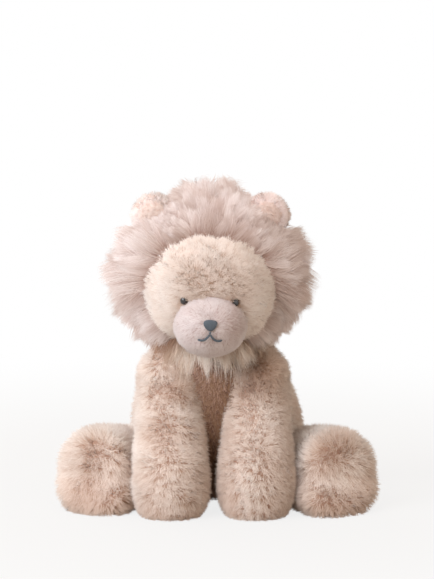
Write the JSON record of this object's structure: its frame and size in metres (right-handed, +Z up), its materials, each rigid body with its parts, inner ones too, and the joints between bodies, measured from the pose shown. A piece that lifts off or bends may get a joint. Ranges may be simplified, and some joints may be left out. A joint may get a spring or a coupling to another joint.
{
  "type": "plush lion",
  "caption": "Seated stuffed lion with a wavy mane, round ears, embroidered nose and mouth, bead eyes, upright front legs and hind legs spread on the floor.",
  "frame": {"origin": "middle of the flat seat that the lion rests on", "axes": "+Z up, the lion faces -Y, +X is to the right as seen from the front"},
  "size_m": [0.314, 0.278, 0.323],
  "materials": {
    "body_pile": "long soft plush pile, matte",
    "face_pile": "soft plush pile, matte",
    "mane_pile": "very long wavy plush pile, soft sheen",
    "muzzle_pile": "short velour pile, matte",
    "ear_pile": "soft plush pile, matte",
    "ear_lining_pile": "curly short pile, matte",
    "fibre_fill": "loose polyester fibre fill",
    "bean_fill": "woven pouch of plastic pellets",
    "eye_bead": "polished",
    "washer_plastic": "moulded",
    "face_thread": "satin-stitched embroidery thread"
  },
  "bodies": {
    "torso": {"body_skin": "body_pile", "body_stuffing": "fibre_fill", "seat_bean_pouch": "bean_fill"},
    "neck": {"neck_stuffing": "fibre_fill"},
    "head": {"head_skin": "face_pile", "head_stuffing": "fibre_fill", "mane": "mane_pile", "muzzle_skin": "muzzle_pile", "muzzle_stuffing": "fibre_fill", "left_eye": "eye_bead", "right_eye": "eye_bead", "left_eye_washer": "washer_plastic", "right_eye_washer": "washer_plastic", "nose_embroidery": "face_thread", "philtrum_stitch": "face_thread", "mouth_stitch_left": "face_thread", "mouth_stitch_right": "face_thread"},
    "tail": {"tail_skin": "body_pile", "tail_stuffing": "fibre_fill", "tail_tuft": "mane_pile"},
    "left_ear": {"left_ear_back": "ear_pile", "left_ear_lining": "ear_lining_pile"},
    "left_front_leg": {"left_front_leg_skin": "body_pile", "left_front_leg_stuffing": "fibre_fill", "left_front_leg_bean_pouch": "bean_fill"},
    "left_hind_leg": {"left_hind_leg_skin": "body_pile", "left_hind_leg_stuffing": "fibre_fill", "left_hind_leg_bean_pouch": "bean_fill"},
    "right_ear": {"right_ear_back": "ear_pile", "right_ear_lining": "ear_lining_pile"},
    "right_front_leg": {"right_front_leg_skin": "body_pile", "right_front_leg_stuffing": "fibre_fill", "right_front_leg_bean_pouch": "bean_fill"},
    "right_hind_leg": {"right_hind_leg_skin": "body_pile", "right_hind_leg_stuffing": "fibre_fill", "right_hind_leg_bean_pouch": "bean_fill"}
  },
  "joints": [
    {"name": "neck_turn", "type": "hinge", "parent": "torso", "child": "neck", "pos_m": [0, -0.06, 0.168], "axis": [0, 0, 1], "range_deg": [-20, 20], "stiffness_Nm_per_rad": 1},
    {"name": "head_nod", "type": "hinge", "parent": "neck", "child": "head", "pos_m": [0, -0.06, 0.168], "axis": [1, 0, 0], "range_deg": [-10, 12], "stiffness_Nm_per_rad": 1},
    {"name": "left_front_leg_swing", "type": "hinge", "parent": "torso", "child": "left_front_leg", "pos_m": [-0.045, -0.075, 0.128], "axis": [-1, 0, 0], "range_deg": [0, 35], "stiffness_Nm_per_rad": 0.3},
    {"name": "right_front_leg_swing", "type": "hinge", "parent": "torso", "child": "right_front_leg", "pos_m": [0.045, -0.075, 0.128], "axis": [-1, 0, 0], "range_deg": [0, 35], "stiffness_Nm_per_rad": 0.3},
    {"name": "left_hind_leg_splay", "type": "hinge", "parent": "torso", "child": "left_hind_leg", "pos_m": [-0.058, -0.022, 0.037], "axis": [0, 0, -1], "range_deg": [0, 12], "stiffness_Nm_per_rad": 0.3},
    {"name": "right_hind_leg_splay", "type": "hinge", "parent": "torso", "child": "right_hind_leg", "pos_m": [0.058, -0.022, 0.037], "axis": [0, 0, 1], "range_deg": [0, 12], "stiffness_Nm_per_rad": 0.3},
    {"name": "tail_swing", "type": "hinge", "parent": "torso", "child": "tail", "pos_m": [0, 0.05, 0.034], "axis": [0, 0, 1], "range_deg": [-20, 20], "stiffness_Nm_per_rad": 0.03},
    {"name": "left_ear_fold", "type": "hinge", "parent": "head", "child": "left_ear", "pos_m": [-0.05323, -0.07, 0.28656], "axis": [0.7357, 0, 0.6773], "range_deg": [-10, 10], "stiffness_Nm_per_rad": 0.03},
    {"name": "right_ear_fold", "type": "hinge", "parent": "head", "child": "right_ear", "pos_m": [0.04695, -0.07, 0.28626], "axis": [0.7357, 0, -0.6773], "range_deg": [-10, 10], "stiffness_Nm_per_rad": 0.03}
  ]
}
